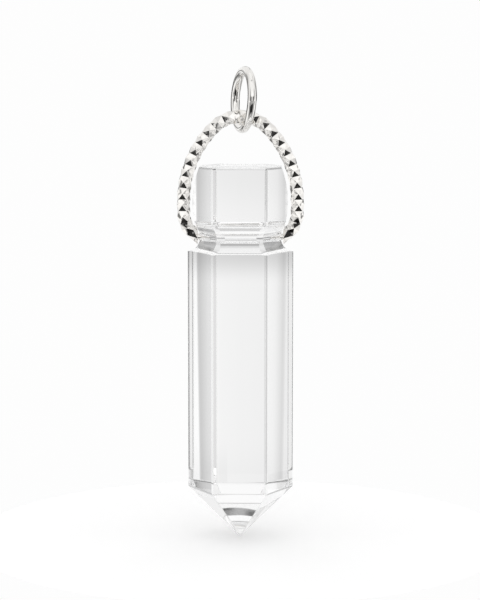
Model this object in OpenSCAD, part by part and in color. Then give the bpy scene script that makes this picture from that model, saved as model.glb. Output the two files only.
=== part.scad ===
// A clear crystal point, hexagonal and cut to a six-sided tip, with a groove round its
// neck. Two pegs on the ends of a diamond-cut wire bail sit in the neck, and the bail
// hangs on a round wire jump ring. X is to the right, Y away from the viewer, Z up, and
// the origin is the inside top of the jump ring, where a chain passes.

/* [Stone] */
// Length of the stone from its flat top to its tip
stone_l = 41.4; // [30:0.1:60]
// Width of the stone over its two side corners
stone_w = 11.75; // [10.6:0.05:13]
// Distance from the side corners forward to the front face
stone_front = 4.95; // [4.4:0.05:5.6]
// Distance from the side corners back to the back face
stone_back = 4.3; // [3.8:0.05:5.4]
// Width of the front face
front_face_w = 6; // [4.8:0.1:6.8]
// Width of the back face
back_face_w = 5.1; // [4.2:0.1:6]
// Height of the pointed tip
tip_h = 5.75; // [4:0.05:8]
// Height of the blunt end ground on the very tip
tip_blunt = 0.15; // [0.05:0.05:0.5]
// Width of the narrow bevel along the stone's edges
edge_bevel = 0.2; // [0.1:0.02:0.35]

/* [Neck] */
// Distance from the stone's top down to the middle of the groove
groove_drop = 7.8; // [6.5:0.1:10]
// Height of the groove
groove_h = 3.05; // [2.7:0.05:3.6]
// Depth of the groove below each face
groove_depth = 1.1; // [0.9:0.05:1.3]
// How far the corners of the neck are cut back
neck_corner_cut = 0.15; // [0.05:0.05:0.3]

/* [Bail] */
// Thickness of the bail's wire over its facet corners
wire_d = 1.5; // [1.2:0.02:1.6]
// Width of the bail between the centres of its wire
bail_w = 12.5; // [12:0.1:14]
// Height of the bail from the pegs to the centre of its wire at the crown
bail_h = 13.2; // [12.4:0.1:17]
// Radius of the crown, to the centre of the wire
crown_r = 4.1; // [3:0.1:5]
// Angle that the crown's arc covers on each side of the middle
crown_angle = 45; // [35:1:55]
// Height above the pegs at which the wire starts to bend inward
bend_start = 2.68; // [2.6:0.02:3]
// Radius of the inward bend, to the centre of the wire
bend_r = 3.05; // [2.7:0.05:3.4]
// Number of facet corners round the wire
facet_sides = 5; // [4:1:8]
// Distance between two rows of facet corners along the wire
facet_pitch = 0.63; // [0.5:0.01:1]
// Turn of the facet corners round the wire, from its inner side toward the viewer
facet_turn = 28; // [0:1:36]

/* [Pegs] */
// Diameter of the pegs
peg_d = 0.7; // [0.5:0.05:0.9]
// Length of each peg inside the stone
peg_in = 2; // [1:0.1:2.6]
// Radial clearance of a peg in its hole
peg_clear = 0.05; // [0.03:0.01:0.1]
// Clearance between the bail and the stone
bail_clear = 0.3; // [0.26:0.01:0.35]

/* [Jump ring] */
// Outer diameter of the jump ring
ring_d = 7.3; // [6.6:0.1:9]
// Diameter of the jump ring's wire
ring_wire_d = 1; // [0.7:0.05:1.2]
// Turn of the ring from facing the viewer
ring_turn = 72; // [45:1:90]
// Lean of the ring's top to the right
ring_lean = 3.5; // [0:0.5:8]
// Distance of the ring's bottom to the right of the crown's middle
ring_aside = 0.15; // [0:0.05:0.3]
// Clearance between the ring and the bail
ring_clear = 0.07; // [0.05:0.01:0.25]
// Width of the seam where the ring's ends meet
seam_w = 0.06; // [0.03:0.01:0.1]
// Angle from the ring's top to its seam
seam_angle = 20; // [12:1:60]

/* [Hidden] */

// Colours of the clear stone and of the polished silver
clear_stone = [0.9, 0.93, 0.95];
silver = [0.78, 0.77, 0.75];

// The ring hangs from the origin by its inside top
ring_mean_r = (ring_d - ring_wire_d) / 2;
ring_inner_r = ring_mean_r - ring_wire_d / 2;
ring_down = [-sin(ring_lean), 0, -cos(ring_lean)];
ring_centre = ring_inner_r * ring_down;
ring_bottom = ring_centre + ring_mean_r * ring_down;

// The bail rests on the ring's bottom wire, and its pegs carry the stone
hang_x = ring_bottom[0] - ring_aside;
crown_z = ring_bottom[2] + (ring_wire_d + wire_d) / 2 + ring_clear;
peg_z = crown_z - bail_h;

// Centre line of the bail, right half: crown arc, side arc, straight leg, inward bend
half_w = bail_w / 2;
side_r = (half_w - crown_r * sin(crown_angle)) / (1 - sin(crown_angle));
side_z = bail_h - crown_r * (1 - cos(crown_angle)) - side_r * cos(crown_angle);
crown_len = crown_r * crown_angle * PI / 180;
side_len = side_r * (90 - crown_angle) * PI / 180;
leg_len = side_z - bend_start;

// Radius of the groove's round section
groove_r = (groove_h * groove_h / 4 + groove_depth * groove_depth) / (2 * groove_depth);

// Heights on the stone, from the pegs
top_z = groove_drop;
tip_z = top_z - stone_l;
shoulder_z = tip_z + tip_h;

// Outline of the stone seen from above, anticlockwise from the front left corner
outline = [
    [-front_face_w / 2, -stone_front], [front_face_w / 2, -stone_front], [stone_w / 2, 0],
    [back_face_w / 2, stone_back], [-back_face_w / 2, stone_back], [-stone_w / 2, 0]];
sides = len(outline);

function corner(i) = outline[i % sides];
function unit(v) = v / norm(v);
// Outward direction of a face, and its distance from the axis
function face_dir(i) = let (e = corner(i + 1) - corner(i)) unit([e[1], -e[0]]);
function face_dist(i) = corner(i) * face_dir(i);
// Upright and sloping faces as outward normals with their distance from the peg axis
function side_normal(i) = [face_dir(i)[0], face_dir(i)[1], 0];
function tip_normal(i) = unit([face_dir(i)[0], face_dir(i)[1], -face_dist(i) / tip_h]);
function tip_dist(i) = tip_normal(i)[2] * tip_z;

// Outward direction of the corner after a face, and how far out the neck reaches there
function corner_dir(i) = unit(face_dir(i) + face_dir(i + 1));
function neck_corner(i) =
    corner(i + 1) * corner_dir(i) - groove_depth / (face_dir(i) * corner_dir(i)) - neck_corner_cut;
// Side of the neck on the peg axis, and the end of the bail's wire a clearance outside it
neck_x = neck_corner(1) / corner_dir(1)[0];
end_x = neck_x + bail_clear;
bend_angle = acos((end_x - half_w + bend_r) / bend_r);
bend_len = bend_r * bend_angle * PI / 180;
half_len = crown_len + side_len + leg_len + bend_len;
// The last row of facets before each end is a little longer, to make room for the cut
last_row = 1.4;
rows = floor(half_len / facet_pitch - last_row);
row_len = half_len / (rows + last_row);

// Reach of the cutting blocks past the stone, and overlap of joined shapes
reach = 2 * stone_l;
overlap = 0.5;
$fn = 96;

// Everything on the stone's side of the plane at the given distance along the normal
module within(normal, distance) {
    rotate([0, acos(normal[2]), atan2(normal[1], normal[0])])
        translate([-reach / 2, -reach / 2, distance - reach])
            cube([reach, reach, reach]);
}

// Leaves a narrow bevel along the edge between two faces
module bevel(normal_a, dist_a, normal_b, dist_b, width) {
    half = acos(normal_a * normal_b) / 2;
    edge_dist = (dist_a + dist_b) / 2 / cos(half);
    within(unit(normal_a + normal_b), edge_dist - width / 2 * tan(half));
}

// The prism with its six-sided tip and narrow bevels along the edges
module cut_stone() {
    up = [0, 0, 1];
    intersection() {
        translate([0, 0, tip_z + tip_blunt])
            linear_extrude(stone_l - tip_blunt) polygon(outline);
        intersection_for(i = [0:sides - 1])
            within(tip_normal(i), tip_dist(i));
        intersection_for(i = [0:sides - 1])
            bevel(side_normal(i), face_dist(i), side_normal(i + 1), face_dist(i + 1), edge_bevel);
        intersection_for(i = [0:sides - 1])
            bevel(side_normal(i), face_dist(i), tip_normal(i), tip_dist(i), edge_bevel);
        intersection_for(i = [0:sides - 1])
            bevel(side_normal(i), face_dist(i), up, top_z, edge_bevel);
        intersection_for(i = [0:sides - 1])
            bevel(tip_normal(i), tip_dist(i), tip_normal(i + 1), tip_dist(i + 1), edge_bevel / 2);
    }
}

// Section of the groove: an arc from edge to edge of a face, open outward from its floor
module groove_section() {
    translate([groove_r, -groove_r]) square([stone_w, 2 * groove_r]);
    translate([groove_r, 0]) circle(groove_r);
}

// One straight flute of the groove, with its floor at the given distance from the axis
module flute(direction, floor_dist) {
    rotate([90, 0, atan2(direction[1], direction[0])])
        translate([floor_dist, 0, -stone_w])
            linear_extrude(2 * stone_w) groove_section();
}

// The stone with its first flutes cut, one across each face and then one at each corner
module fluted_stone(count) {
    i = count - 1;
    if (count == 0) cut_stone();
    else difference() {
        fluted_stone(i);
        if (i < sides) flute(face_dir(i), face_dist(i) - groove_depth);
        else flute(corner_dir(i), neck_corner(i));
    }
}

// The head's side corners are ground back to follow the inside of the bail
module head_room(side) {
    r = side_r - wire_d / 2 - bail_clear;
    difference() {
        translate([-stone_w, -stone_w, 0]) cube([2 * stone_w, 2 * stone_w, reach]);
        translate([side * (half_w - side_r), stone_w, side_z])
            rotate([90, 0, 0]) cylinder(r = r, h = 2 * stone_w, $fn = 192);
    }
}

module crystal_point() {
    color(clear_stone)
        translate([hang_x, 0, peg_z])
            difference() {
                fluted_stone(2 * sides);
                for (side = [-1, 1]) head_room(side);
                for (side = [-1, 1]) peg_hole(side);
            }
}

// Blind hole for a peg, a little deeper than the peg
module peg_hole(side) {
    bottom_x = neck_x - peg_in - 2 * peg_clear;
    rotate([0, side * 90, 0])
        translate([0, 0, bottom_x]) cylinder(d = peg_d + 2 * peg_clear, h = stone_w);
}

// Place of the wire's centre, and the angle of its outer side from straight up, at a
// length measured from the crown's middle down the right half
function on_crown(s) = let (a = s / crown_r * 180 / PI)
    [crown_r * sin(a), bail_h - crown_r * (1 - cos(a)), a];
function on_side(s) = let (a = crown_angle + s / side_r * 180 / PI)
    [half_w - side_r * (1 - sin(a)), side_z + side_r * cos(a), a];
function on_leg(s) = [half_w, side_z - s, 90];
function on_bend(s) = let (a = s / bend_r * 180 / PI)
    [half_w - bend_r * (1 - cos(a)), bend_start - bend_r * sin(a), 90 + a];
function wire_at(s) =
    s <= crown_len ? on_crown(s)
    : s <= crown_len + side_len ? on_side(s - crown_len)
    : s <= crown_len + side_len + leg_len ? on_leg(s - crown_len - side_len)
    : on_bend(s - crown_len - side_len - leg_len);

// Corner k of a section, counted toward the viewer from near the inner side of the bend, with
// the wire's centre and outward angle given
function section_corner(w, k, turn) = let (a = 180 + facet_turn + 360 * (k + turn) / facet_sides, r = wire_d / 2)
    [w[0] + r * cos(a) * sin(w[2]), r * sin(a), w[1] + r * cos(a) * cos(w[2])];
// The end section is slid along the wire into the upright plane of the cut
function end_corner(w, k, turn) = let (p = section_corner(w, k, turn), slide = (end_x - p[0]) / cos(w[2]))
    [end_x, p[1], p[2] - slide * sin(w[2])];
function row_corners(i) = let (n = abs(i), turn = n % 2 / 2, side = i < 0 ? -1 : 1)
    [for (k = [0:facet_sides - 1])
        let (p = n > rows ? end_corner(wire_at(half_len), k, turn)
                          : section_corner(wire_at(n * row_len), k, turn))
        [side * p[0], p[1], p[2]]];

// Facets between neighbouring rows, whose corners are turned half a step, and the ends
function row_faces(i) = let (n = facet_sides, a = i * n, b = a + n, ahead = (i - rows - 1) % 2 == 0 ? 0 : 1)
    [for (k = [0:n - 1]) let (k1 = (k + 1) % n) each
        ahead == 0 ? [[a + k, a + k1, b + k], [b + k, a + k1, b + k1]]
                   : [[a + k, b + k1, b + k], [a + k, a + k1, b + k1]]];

module wire_arch() {
    rings = [for (i = [-rows - 1:rows + 1]) each row_corners(i)];
    last = 2 * (rows + 1);
    faces = [
        [for (k = [facet_sides - 1:-1:0]) k],
        for (i = [0:last - 1]) each row_faces(i),
        [for (k = [0:facet_sides - 1]) last * facet_sides + k]];
    polyhedron(rings, faces);
}

module peg(side) {
    rotate([0, side * 90, 0])
        translate([0, 0, neck_x - peg_in])
            cylinder(d = peg_d, h = peg_in + bail_clear + overlap);
}

module bail() {
    color(silver)
        translate([hang_x, 0, peg_z]) {
            wire_arch();
            for (side = [-1, 1]) peg(side);
        }
}

module jump_ring() {
    color(silver)
        translate(ring_centre)
            rotate([0, ring_lean, 0]) rotate([90, 0, -ring_turn])
                difference() {
                    rotate_extrude() translate([ring_mean_r, 0]) circle(d = ring_wire_d);
                    rotate([0, 0, 90 + seam_angle])
                        translate([0, -seam_w / 2, -ring_wire_d])
                            cube([ring_d, seam_w, 2 * ring_wire_d]);
                }
}

crystal_point();
bail();
jump_ring();
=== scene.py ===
"""A clear crystal point in a diamond-cut silver bail, on a white studio floor.

Lengths are in millimetres until they reach a mesh, and follow the names in part.scad.
"""

import math

import bmesh
import bpy
from mathutils import Matrix, Vector


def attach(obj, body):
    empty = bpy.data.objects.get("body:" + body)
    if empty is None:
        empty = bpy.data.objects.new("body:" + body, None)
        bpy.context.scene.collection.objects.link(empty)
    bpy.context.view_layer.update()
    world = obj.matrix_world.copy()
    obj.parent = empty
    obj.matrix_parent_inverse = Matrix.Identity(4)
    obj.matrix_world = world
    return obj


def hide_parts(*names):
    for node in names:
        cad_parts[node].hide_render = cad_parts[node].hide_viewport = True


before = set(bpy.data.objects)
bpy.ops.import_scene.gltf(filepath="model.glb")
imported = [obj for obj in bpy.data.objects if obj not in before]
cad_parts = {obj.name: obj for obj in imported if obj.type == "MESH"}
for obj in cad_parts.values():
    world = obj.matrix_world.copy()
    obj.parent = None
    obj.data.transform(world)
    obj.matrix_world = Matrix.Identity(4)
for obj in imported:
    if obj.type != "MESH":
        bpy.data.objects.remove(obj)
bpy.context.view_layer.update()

MM = 0.001
scene = bpy.context.scene

# Stone
STONE_L, STONE_W = 41.4, 11.75
STONE_FRONT, STONE_BACK = 4.95, 4.3
FRONT_FACE_W, BACK_FACE_W = 6.0, 5.1
TIP_H, TIP_BLUNT = 5.75, 0.15
EDGE_BEVEL, BACK_BEVEL = 0.2, 0.08
# Neck
GROOVE_DROP, GROOVE_H, GROOVE_DEPTH, NECK_CORNER_CUT = 7.8, 3.05, 1.1, 0.15
# Bail
WIRE_D, BAIL_W, BAIL_H = 1.5, 12.5, 13.2
CROWN_R, CROWN_ANGLE = 4.1, math.radians(45)
PEG_D, PEG_IN, PEG_CLEAR, BAIL_CLEAR = 0.7, 2.0, 0.05, 0.3
# Jump ring
RING_D, RING_WIRE_D, RING_CLEAR, RING_ASIDE = 7.3, 1.0, 0.07, 0.15
RING_LEAN = math.radians(3.5)
# Cutting blocks: how far they reach out and along, and the top of the ones beside the head
CUT_OUT, CUT_ALONG, ROOM_TOP = 9, 12, 13
HOLE_CUT_L = 8

# Places that follow from the sizes
ring_mean_r = (RING_D - RING_WIRE_D) / 2
ring_down = Vector((-math.sin(RING_LEAN), 0, -math.cos(RING_LEAN)))
ring_centre = ring_down * (ring_mean_r - RING_WIRE_D / 2)
ring_bottom = ring_centre + ring_down * ring_mean_r
peg_axis = Vector((ring_bottom.x - RING_ASIDE, 0,
                   ring_bottom.z + (RING_WIRE_D + WIRE_D) / 2 + RING_CLEAR - BAIL_H))
top_z = GROOVE_DROP
tip_z = top_z - STONE_L
half_w = BAIL_W / 2
side_r = (half_w - CROWN_R * math.sin(CROWN_ANGLE)) / (1 - math.sin(CROWN_ANGLE))
side_z = BAIL_H - CROWN_R * (1 - math.cos(CROWN_ANGLE)) - side_r * math.cos(CROWN_ANGLE)


def mesh_object(bm, name):
    """Turns a bmesh in millimetres about the peg axis into an object in the row frame."""
    mesh = bpy.data.meshes.new(name)
    bm.to_mesh(mesh)
    bm.free()
    obj = bpy.data.objects.new(name, mesh)
    scene.collection.objects.link(obj)
    return obj


def place(obj):
    """Moves a mesh from the peg axis, in millimetres, to its place in metres."""
    obj.data.transform(Matrix.Diagonal((MM, MM, MM, 1)) @ Matrix.Translation(peg_axis))


def applied(obj):
    """Replaces an object's mesh by the result of its modifiers."""
    graph = bpy.context.evaluated_depsgraph_get()
    new = bpy.data.meshes.new_from_object(obj.evaluated_get(graph))
    obj.modifiers.clear()
    old, obj.data = obj.data, new
    name = old.name
    bpy.data.meshes.remove(old)
    new.name = name


def cut(target, cutter):
    """Takes one object out of another."""
    step = target.modifiers.new("cut", "BOOLEAN")
    step.operation, step.solver, step.object = "DIFFERENCE", "EXACT", cutter
    applied(target)
    bpy.data.objects.remove(cutter)


# The stone's faces, each a point and an outward normal
outline = [(-FRONT_FACE_W / 2, -STONE_FRONT), (FRONT_FACE_W / 2, -STONE_FRONT), (STONE_W / 2, 0),
           (BACK_FACE_W / 2, STONE_BACK), (-BACK_FACE_W / 2, STONE_BACK), (-STONE_W / 2, 0)]
sides = []
for i, a in enumerate(outline):
    b = outline[(i + 1) % 6]
    normal = Vector((b[1] - a[1], a[0] - b[0], 0)).normalized()
    sides.append((normal, normal.dot(Vector((a[0], a[1], 0)))))
tips = []
for normal, dist in sides:
    slope = Vector((normal.x, normal.y, -dist / TIP_H)).normalized()
    tips.append((slope, slope.z * tip_z))
top = (Vector((0, 0, 1)), top_z)


def rounding(a, b, width, steps=2):
    """Planes that round the edge between two planes, the middle one a bevel of the given width."""
    middle = (a[0] + b[0]).normalized()
    across = (b[0] - a[0]).normalized()
    half = math.acos(a[0].dot(b[0])) / 2
    radius = width / 2 / math.tan(half / 2)
    along = ((a[1] + b[1]) / 2 - radius) / math.cos(half)
    aside = (b[1] - a[1]) / 2 / math.sin(half)
    planes = []
    for k in range(-steps, steps + 1):
        t = half * k / (steps + 0.5)
        planes.append((middle * math.cos(t) + across * math.sin(t),
                       along * math.cos(t) + aside * math.sin(t) + radius))
    return planes


def stone_body():
    planes = sides + tips + [top, (Vector((0, 0, -1)), -tip_z - TIP_BLUNT)]
    for i in range(6):
        j = (i + 1) % 6
        at_back = outline[j][1] > 0
        planes += rounding(sides[i], sides[j], BACK_BEVEL if at_back else EDGE_BEVEL)
        planes += rounding(sides[i], tips[i], EDGE_BEVEL)
        planes += rounding(sides[i], top, EDGE_BEVEL)
        planes += rounding(tips[i], tips[j], EDGE_BEVEL / 2)
    bm = bmesh.new()
    bmesh.ops.create_cube(bm, size=200)
    for normal, dist in planes:
        geom = bm.verts[:] + bm.edges[:] + bm.faces[:]
        found = bmesh.ops.bisect_plane(bm, geom=geom, plane_co=normal * dist, plane_no=normal,
                                       dist=1e-6, clear_outer=True)
        edges = [e for e in found["geom_cut"] if isinstance(e, bmesh.types.BMEdge)]
        if edges:
            bmesh.ops.contextual_create(bm, geom=edges)
    bmesh.ops.recalc_face_normals(bm, faces=bm.faces[:])
    return mesh_object(bm, "crystal_body")


def swept(section, corner, direction, up, along, length, name):
    """A bar of the given section (out, up), laid along a direction on both sides of a corner."""
    bm = bmesh.new()
    ends = [[bm.verts.new(corner + direction * o + up * u + along * s * length)
             for o, u in section] for s in (-1, 1)]
    bm.faces.new(ends[0])
    bm.faces.new(list(reversed(ends[1])))
    for i in range(len(section)):
        j = (i + 1) % len(section)
        bm.faces.new((ends[0][i], ends[1][i], ends[1][j], ends[0][j]))
    bmesh.ops.recalc_face_normals(bm, faces=bm.faces[:])
    return mesh_object(bm, name)


def groove_section(steps=48):
    """The groove's round section, open outward from its floor."""
    r = ((GROOVE_H / 2) ** 2 + GROOVE_DEPTH ** 2) / (2 * GROOVE_DEPTH)
    arc = [math.pi * k / steps for k in range(steps + 1)]
    floor_arc = [(r - r * math.sin(a), -r * math.cos(a)) for a in arc]
    return [(CUT_OUT, -r)] + floor_arc + [(CUT_OUT, r)]


def corner_of(i):
    """The direction of the corner after a face, and how far out the neck reaches there."""
    middle = (sides[i][0] + sides[(i + 1) % 6][0]).normalized()
    x, y = outline[(i + 1) % 6]
    reach = middle.dot(Vector((x, y, 0)))
    return middle, reach - GROOVE_DEPTH / sides[i][0].dot(middle) - NECK_CORNER_CUT


Z = Vector((0, 0, 1))
neck_direction, neck_reach = corner_of(1)
neck_x = neck_reach / neck_direction.x

stone = stone_body()
flutes = [(n, d - GROOVE_DEPTH) for n, d in sides] + [corner_of(i) for i in range(6)]
for n, d in flutes:
    cut(stone, swept(groove_section(), n * d, n, Z, Z.cross(n), CUT_ALONG, "flute"))
for s in (-1, 1):
    # room for the bail's leg beside the head
    r = side_r - WIRE_D / 2 - BAIL_CLEAR
    cx = s * (half_w - side_r)
    arc = []
    for k in range(81):
        z = ROOM_TOP * k / 80
        arc.append((cx + s * math.sqrt(r * r - (z - side_z) ** 2), z))
    section = arc + [(s * CUT_ALONG, ROOM_TOP), (s * CUT_ALONG, 0)]
    cut(stone, swept(section, Vector((0, 0, 0)), Vector((1, 0, 0)), Z, Vector((0, 1, 0)),
                     CUT_ALONG, "room"))
    # blind hole for the peg
    hole_r = PEG_D / 2 + PEG_CLEAR
    bottom = neck_x - PEG_IN - 2 * PEG_CLEAR
    bm = bmesh.new()
    bmesh.ops.create_cone(bm, cap_ends=True, segments=64, radius1=hole_r, radius2=hole_r,
                          depth=HOLE_CUT_L,
                          matrix=Matrix.Translation((s * (bottom + HOLE_CUT_L / 2), 0, 0))
                          @ Matrix.Rotation(math.pi / 2, 4, "Y"))
    cut(stone, mesh_object(bm, "hole"))


def soften(obj, angle=20):
    """Smooth shading inside curved faces, with the flat faces kept exactly flat."""
    bm = bmesh.new()
    bm.from_mesh(obj.data)
    bmesh.ops.remove_doubles(bm, verts=bm.verts, dist=1e-4)
    for f in bm.faces:
        f.smooth = True
    for e in bm.edges:
        e.smooth = len(e.link_faces) == 2 and e.calc_face_angle() < math.radians(angle)
    bm.to_mesh(obj.data)
    bm.free()
    step = obj.modifiers.new("normals", "WEIGHTED_NORMAL")
    step.mode, step.weight, step.keep_sharp = "FACE_AREA", 80, True
    applied(obj)


soften(stone)
place(stone)


def new_material(name):
    mat = bpy.data.materials.new(name)
    mat.use_nodes = True
    return mat, mat.node_tree, mat.node_tree.nodes["Principled BSDF"]


def noise(tree, scale, detail=2.0, rough=0.5):
    coord = tree.nodes.new("ShaderNodeTexCoord")
    node = tree.nodes.new("ShaderNodeTexNoise")
    node.inputs["Scale"].default_value = scale
    node.inputs["Detail"].default_value = detail
    node.inputs["Roughness"].default_value = rough
    tree.links.new(coord.outputs["Object"], node.inputs["Vector"])
    return node.outputs["Fac"]


def mapped(tree, value, low, high, lo=0.0, hi=1.0):
    node = tree.nodes.new("ShaderNodeMapRange")
    node.inputs["From Min"].default_value = low
    node.inputs["From Max"].default_value = high
    node.inputs["To Min"].default_value = lo
    node.inputs["To Max"].default_value = hi
    tree.links.new(value, node.inputs["Value"])
    return node.outputs["Result"]


def maths(tree, operation, a, b=None):
    node = tree.nodes.new("ShaderNodeMath")
    node.operation = operation
    for i, v in enumerate((a, b)):
        if isinstance(v, (int, float)):
            node.inputs[i].default_value = v
        elif v is not None:
            tree.links.new(v, node.inputs[i])
    return node.outputs[0]


def bump(tree, height, distance):
    node = tree.nodes.new("ShaderNodeBump")
    node.inputs["Strength"].default_value = 1
    node.inputs["Distance"].default_value = distance
    tree.links.new(height, node.inputs["Height"])
    return node.outputs["Normal"]


def from_axis(tree):
    """Distances from the peg axis in millimetres, across, back and up."""
    coord = tree.nodes.new("ShaderNodeTexCoord")
    split = tree.nodes.new("ShaderNodeSeparateXYZ")
    tree.links.new(coord.outputs["Object"], split.inputs[0])
    return [maths(tree, "SUBTRACT", maths(tree, "MULTIPLY", split.outputs[i], 1 / MM), peg_axis[i])
            for i in range(3)]


def polished(tree):
    """Bump in millimetres, chosen for the photo's tones and not a real polish. The front faces are
    a little domed and roll over toward the side corners. The back ones are hollow and turn up."""
    x, y, z = from_axis(tree)
    corner = STONE_W / 2
    r2 = maths(tree, "ADD", maths(tree, "MULTIPLY", x, x), maths(tree, "MULTIPLY", y, y))
    dome = maths(tree, "MULTIPLY", maths(tree, "SUBTRACT", r2, corner * corner), DOME)
    past = maths(tree, "MAXIMUM", maths(tree, "SUBTRACT", maths(tree, "ABSOLUTE", x),
                                        corner - ROLL_W), 0.0)
    rolled = maths(tree, "SUBTRACT", maths(tree, "MULTIPLY", past, past), ROLL_W * ROLL_W)
    height = maths(tree, "ADD", dome, maths(tree, "MULTIPLY", rolled, ROLL))
    return maths(tree, "MULTIPLY", height, maths(tree, "SIGN", y))


# Rise of the domed faces, and fall and width of the roll before the side corners
DOME, ROLL, ROLL_W = 0.0087, 2.28, 0.175
quartz, tree, bsdf = new_material("quartz")
bsdf.inputs["Transmission Weight"].default_value = 1
bsdf.inputs["IOR"].default_value = 1.544
bsdf.inputs["Base Color"].default_value = (1, 1, 1, 1)
tree.links.new(mapped(tree, noise(tree, 900, 3), 0.55, 0.8, 0.0, 0.02), bsdf.inputs["Roughness"])
tree.links.new(bump(tree, polished(tree), MM), bsdf.inputs["Normal"])
stone.data.materials.clear()
stone.data.materials.append(quartz)
stone.name = "crystal_point_cut"


def silver(name, colour, low, high, waves):
    mat, tree, bsdf = new_material(name)
    bsdf.inputs["Metallic"].default_value = 1
    bsdf.inputs["Base Color"].default_value = colour
    rough = mapped(tree, noise(tree, 1500, 3), 0.3, 0.7, low, high)
    tree.links.new(rough, bsdf.inputs["Roughness"])
    tree.links.new(bump(tree, noise(tree, 1100, 1), waves * MM), bsdf.inputs["Normal"])
    return mat


bail_silver = silver("bail_silver", (0.90, 0.88, 0.85, 1), 0.05, 0.12, 0.12)
ring_silver = silver("ring_silver", (0.90, 0.885, 0.86, 1), 0.06, 0.14, 0.01)
for node, mat in (("bail", bail_silver), ("jump_ring", ring_silver)):
    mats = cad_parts[node].data.materials
    mats.clear()
    mats.append(mat)

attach(stone, "stone")
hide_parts("crystal_point")

# Floor, a round white table a hair below the tip, which glows a little to look white
FLOOR_R, FLOOR_GAP, FLOOR_GLOW = 0.03, 0.00002, 0.22
FLOOR_Z = (peg_axis.z + tip_z + TIP_BLUNT) * MM - FLOOR_GAP
bm = bmesh.new()
bmesh.ops.create_circle(bm, cap_ends=True, segments=128, radius=FLOOR_R)
bmesh.ops.translate(bm, verts=bm.verts, vec=(peg_axis.x * MM, 0, FLOOR_Z))
floor = mesh_object(bm, "floor")
paper, tree, bsdf = new_material("floor_paper")
bsdf.inputs["Base Color"].default_value = (0.93, 0.93, 0.93, 1)
bsdf.inputs["Roughness"].default_value = 1
bsdf.inputs["Specular IOR Level"].default_value = 0
bsdf.inputs["Emission Color"].default_value = (1, 1, 1, 1)
bsdf.inputs["Emission Strength"].default_value = FLOOR_GLOW
floor.data.materials.append(paper)

# Camera, pitched down and a little to the right of the pendant's middle. PX is one photo pixel in
# millimetres at the pendant, and the other lengths are in photo pixels.
PX = 0.1104
FRAME_H, FOCAL, AIM_X, AIM_Z = 600, 2100, -0.5, -63.5
PITCH, YAW = math.radians(6.9), math.radians(1.2)
DISTANCE = FOCAL * PX
aim = peg_axis + Vector((AIM_X * PX, 0, AIM_Z * PX))
camera = bpy.data.objects.new("camera", bpy.data.cameras.new("camera"))
scene.collection.objects.link(camera)
back = Vector((math.cos(PITCH) * math.sin(YAW), -math.cos(PITCH) * math.cos(YAW), math.sin(PITCH)))
camera.location = (aim + back * DISTANCE) * MM
camera.rotation_euler = (math.pi / 2 - PITCH, 0, YAW)
camera.data.sensor_fit = "VERTICAL"
camera.data.sensor_height = 36
camera.data.lens = camera.data.sensor_height * FOCAL / FRAME_H
camera.data.clip_start = 0.01
camera.data.clip_end = 20
scene.camera = camera

# Studio: light and dark zones around the pendant, each soft into the next. This is not plain light.
# Its levels were fitted to the photograph, with a solver.
world = bpy.data.worlds.new("studio")
scene.world = world
world.use_nodes = True
tree = world.node_tree
tree.nodes.clear()
coord = tree.nodes.new("ShaderNodeTexCoord")
axes = tree.nodes.new("ShaderNodeSeparateXYZ")
tree.links.new(coord.outputs["Generated"], axes.inputs[0])
turn = maths(tree, "ARCTAN2", axes.outputs["X"], axes.outputs["Y"])
bearing = maths(tree, "DIVIDE", maths(tree, "ABSOLUTE", turn), math.pi)
on_right = maths(tree, "GREATER_THAN", turn, 0.0)
height = maths(tree, "MULTIPLY", maths(tree, "ARCSINE", axes.outputs["Z"]), 180 / math.pi)


def mixed(factor, a, b):
    node = tree.nodes.new("ShaderNodeMix")
    node.data_type = "RGBA"
    tree.links.new(factor, node.inputs["Factor"])
    tree.links.new(a, node.inputs["A"])
    tree.links.new(b, node.inputs["B"])
    return node.outputs["Result"]


def compass(stops):
    """Brightness by bearing from straight behind, 180 being the viewer. A tuple is left, right."""
    if isinstance(stops, tuple):
        return mixed(on_right, compass(stops[0]), compass(stops[1]))
    node = tree.nodes.new("ShaderNodeValToRGB")
    ramp = node.color_ramp
    while len(ramp.elements) < len(stops):
        ramp.elements.new(0.5)
    for element, (angle, level) in zip(ramp.elements, stops):
        element.position = angle / 180
        element.color = (level, level, level, 1)
    tree.links.new(bearing, node.inputs["Fac"])
    return node.outputs["Color"]


# Stops are bearing in degrees and grey level. RING is a little below level, where the stone's long
# faces look through to, GAP is under it, LIMB is level, the walls are above and SKY is overhead.
RING = ([(0, 0.91), (3.6, 0.88), (5.5, 0.86), (9, 0.68), (20, 0.66), (23, 0.94), (38, 1.0),
         (42, 0.95), (44, 0.84), (45.4, 0.74), (46.4, 0.93), (49, 0.93), (51, 0.2), (62, 0.2),
         (76, 0.25), (81, 1.1), (104, 1.1), (112, 0.1), (121, 0.1), (126, 0.97), (138, 0.95),
         (143, 0.15), (150, 0.03), (164, 0.03), (169, 0.75), (180, 0.75)],
        [(0, 0.91), (1.6, 0.93), (5, 0.93), (35, 0.93), (38.5, 0.84), (41, 0.72), (42.8, 0.62),
         (43.5, 1.1), (48, 1.1), (51, 0.2), (62, 0.2), (76, 0.25), (81, 1.1), (104, 1.1),
         (112, 0.1), (121, 0.1), (126, 1.0), (134, 1.0), (137, 0.45), (143, 0.12), (150, 0.03),
         (164, 0.03), (169, 0.8), (180, 0.8)])
LIMB = [(0, 0.95), (4, 0.95), (8, 0.12), (60, 0.12), (76, 0.2), (81, 1.15), (130, 1.1),
        (138, 0.5), (146, 0.03), (171, 0.03), (175, 0.8), (180, 0.8)]
GAP = [(0, 0.45), (5, 0.45), (12, 0.75), (33, 0.75), (37, 0.45), (47, 0.4), (51, 0.15),
       (62, 0.15), (76, 0.25), (81, 1.15), (108, 1.05), (118, 0.45), (130, 0.45), (142, 0.03),
       (180, 0.03)]
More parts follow.
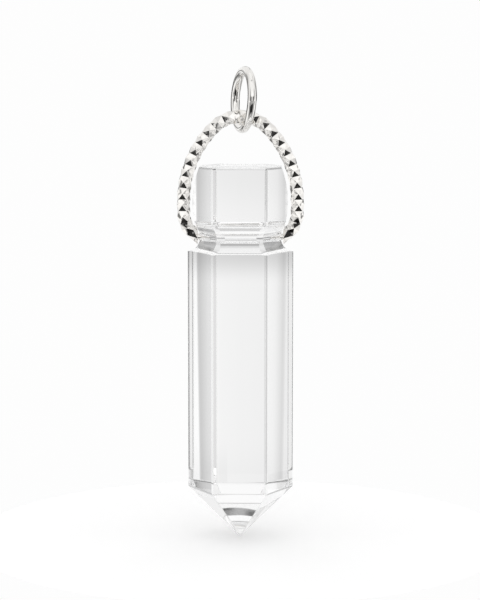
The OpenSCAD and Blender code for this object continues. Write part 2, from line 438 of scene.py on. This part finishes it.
LOW_WALL = [(0, 0.97), (33, 0.95), (37, 0.6), (47, 0.5), (52, 0.15), (62, 0.2), (76, 0.25),
            (81, 1.1), (112, 0.8), (118, 0.45), (130, 0.45), (142, 0.03), (160, 0.03),
            (167, 0.8), (180, 0.8)]
HIGH_WALL = [(0, 0.9), (60, 0.9), (76, 0.88), (90, 0.88), (120, 1.0), (180, 1.0)]
SKY = [(0, 0.9), (180, 0.95)]


def dimmed(ring, left, right=None):
    """The same zones with their levels lowered to a share, which may differ on the right."""
    shares = (left, left if right is None else right)
    return tuple([(angle, level * share) for angle, level in stops]
                 for stops, share in zip(ring, shares))


# Zones by elevation in degrees. Those from 67.7 to 70.5 are dark over the viewer.
BANDS = [
    (-75, [(0, 0.5), (90, 0.4), (180, 0.1)]),
    (-50, [(0, 0.25), (14, 0.35), (45, 0.4), (70, 0.6), (85, 0.9), (110, 0.7), (125, 0.5),
           (150, 0.4), (160, 0.2), (167, 0.6), (180, 0.6)]),
    (-38, [(0, 0.95), (4, 0.95), (12, 0.75), (30, 0.7), (36, 0.4), (57, 0.25), (64, 0.5),
           (75, 0.95), (108, 0.95), (118, 0.45), (135, 0.35), (148, 0.03), (180, 0.0)]),
    (-26, [(0, 0.92), (4, 0.92), (12, 0.85), (33, 0.85), (37, 0.55), (45, 0.45), (51, 0.15),
           (62, 0.2), (76, 0.25), (81, 1.15), (108, 1.05), (118, 0.45), (135, 0.4), (144, 0.03),
           (180, 0.02)]),
    (-19, [(0, 0.72), (5, 0.72), (12, 0.85), (33, 0.85), (37, 0.5), (45, 0.45), (51, 0.15),
           (62, 0.2), (76, 0.25), (81, 1.15), (108, 1.05), (118, 0.45), (130, 0.45), (142, 0.03),
           (180, 0.02)]),
    (-16, GAP),
    (-13.4, GAP),
    (-12.2, dimmed(RING, 0.96, 0.9)),
    (-10.5, RING),
    (-6.5, RING),
    (-5.6, dimmed(RING, 0.74)),
    (-4.9, RING),
    (-3.4, dimmed(RING, 0.93)),
    (-1.6, LIMB),
    (1.2, LIMB),
    (3.4, LOW_WALL),
    (10, LOW_WALL),
    (14, ([(0, 0.97), (33, 1.0), (44, 1.05), (51, 0.3), (62, 0.2), (76, 0.25), (81, 1.1),
           (112, 0.8), (118, 0.45), (132, 0.45), (146, 0.3), (154, 1.1), (180, 1.2)],
          [(0, 0.97), (33, 0.85), (37, 0.7), (47, 0.6), (51, 0.15), (62, 0.2), (76, 0.25),
           (81, 1.1), (112, 0.8), (118, 0.45), (128, 0.5), (133, 0.8), (138, 0.8), (146, 0.3),
           (154, 1.1), (180, 1.2)])),
    (18.5, ([(0, 0.6), (8, 0.6), (14, 0.85), (33, 0.9), (50, 0.95), (62, 0.3), (76, 0.3), (81, 1.0),
             (112, 0.8), (120, 0.45), (140, 0.5), (154, 1.15), (180, 1.2)],
            [(0, 0.6), (8, 0.6), (14, 0.85), (33, 0.8), (37, 0.5), (51, 0.2), (62, 0.25), (76, 0.3),
             (81, 1.0), (112, 0.8), (120, 0.45), (128, 0.5), (133, 0.8), (138, 0.7), (154, 1.15),
             (180, 1.2)])),
    (27, ([(0, 0.6), (8, 0.6), (16, 0.9), (33, 0.95), (52, 0.95), (62, 0.4), (76, 0.4), (81, 0.9),
           (112, 0.8), (122, 0.5), (150, 1.0), (180, 1.15)],
          [(0, 0.6), (8, 0.6), (16, 0.9), (33, 0.8), (40, 0.45), (60, 0.4), (76, 0.4), (81, 0.9),
           (112, 0.8), (122, 0.5), (150, 1.0), (180, 1.15)])),
    (34, ([(0, 1.0), (60, 0.8), (76, 0.6), (90, 0.75), (120, 0.9), (150, 1.0), (180, 1.0)],
          [(0, 1.0), (3, 0.95), (5, 0.5), (12, 0.5), (20, 0.95), (60, 0.8), (76, 0.6), (90, 0.75),
           (120, 0.9), (150, 1.0), (180, 1.0)])),
    (39, ([(0, 0.95), (60, 0.9), (75, 0.75), (90, 0.8), (120, 1.0), (180, 1.0)],
          [(0, 0.95), (3, 0.95), (5, 0.5), (12, 0.5), (20, 0.95), (60, 0.9), (75, 0.75), (90, 0.8),
           (120, 1.0), (180, 1.0)])),
    (50, [(0, 0.9), (60, 0.9), (76, 0.85), (90, 0.8), (120, 1.0), (180, 1.0)]),
    (57.6, HIGH_WALL),
    (58.3, (HIGH_WALL, [(0, 0.9), (60, 0.85), (72, 0.55), (86, 0.55), (96, 0.9), (180, 1.0)])),
    (62, (HIGH_WALL, [(0, 0.9), (60, 0.85), (72, 0.6), (86, 0.6), (96, 0.9), (180, 1.0)])),
    (67.3, SKY),
    (67.7, ([(0, 0.9), (150, 0.9), (160, 0.15), (168, 0.25), (174, 0.4), (180, 0.4)],
            [(0, 0.9), (120, 0.85), (150, 0.3), (163, 0.06), (174, 0.08), (179, 0.3), (180, 0.4)])),
    (68.6, ([(0, 0.9), (150, 0.9), (160, 0.06), (168, 0.1), (174, 0.4), (180, 0.4)],
            [(0, 0.9), (120, 0.85), (150, 0.3), (163, 0.2), (174, 0.25), (180, 0.4)])),
    (69.8, ([(0, 0.9), (150, 0.9), (160, 0.1), (168, 0.15), (174, 0.4), (180, 0.4)],
            [(0, 0.9), (120, 0.85), (150, 0.4), (163, 0.25), (174, 0.28), (180, 0.4)])),
    (70.5, (SKY, [(0, 0.9), (150, 0.7), (163, 0.4), (175, 0.4), (180, 0.8)])),
    (71.5, SKY),
    (73.5, [(0, 1.0), (180, 1.0)]),
]
level, last_height = None, None
for angle, stops in BANDS:
    colour = compass(stops)
    if level is None:
        level = colour
    else:
        blend = mapped(tree, height, last_height, angle)
        blend.node.interpolation_type = "SMOOTHSTEP"
        level = mixed(blend, level, colour)
    last_height = angle

# The camera sees a plain white backdrop in place of the zones
BACKDROP = 0.985
lit = tree.nodes.new("ShaderNodeBackground")
tree.links.new(level, lit.inputs["Color"])
seen = tree.nodes.new("ShaderNodeBackground")
seen.inputs["Color"].default_value = (1, 1, 1, 1)
seen.inputs["Strength"].default_value = BACKDROP
path = tree.nodes.new("ShaderNodeLightPath")
both = tree.nodes.new("ShaderNodeMixShader")
tree.links.new(path.outputs["Is Camera Ray"], both.inputs["Fac"])
tree.links.new(lit.outputs[0], both.inputs[1])
tree.links.new(seen.outputs[0], both.inputs[2])
output = tree.nodes.new("ShaderNodeOutputWorld")
tree.links.new(both.outputs[0], output.inputs["Surface"])

scene.view_settings.view_transform = "Standard"
scene.cycles.max_bounces = 24
scene.cycles.transmission_bounces = 24
scene.cycles.glossy_bounces = 12
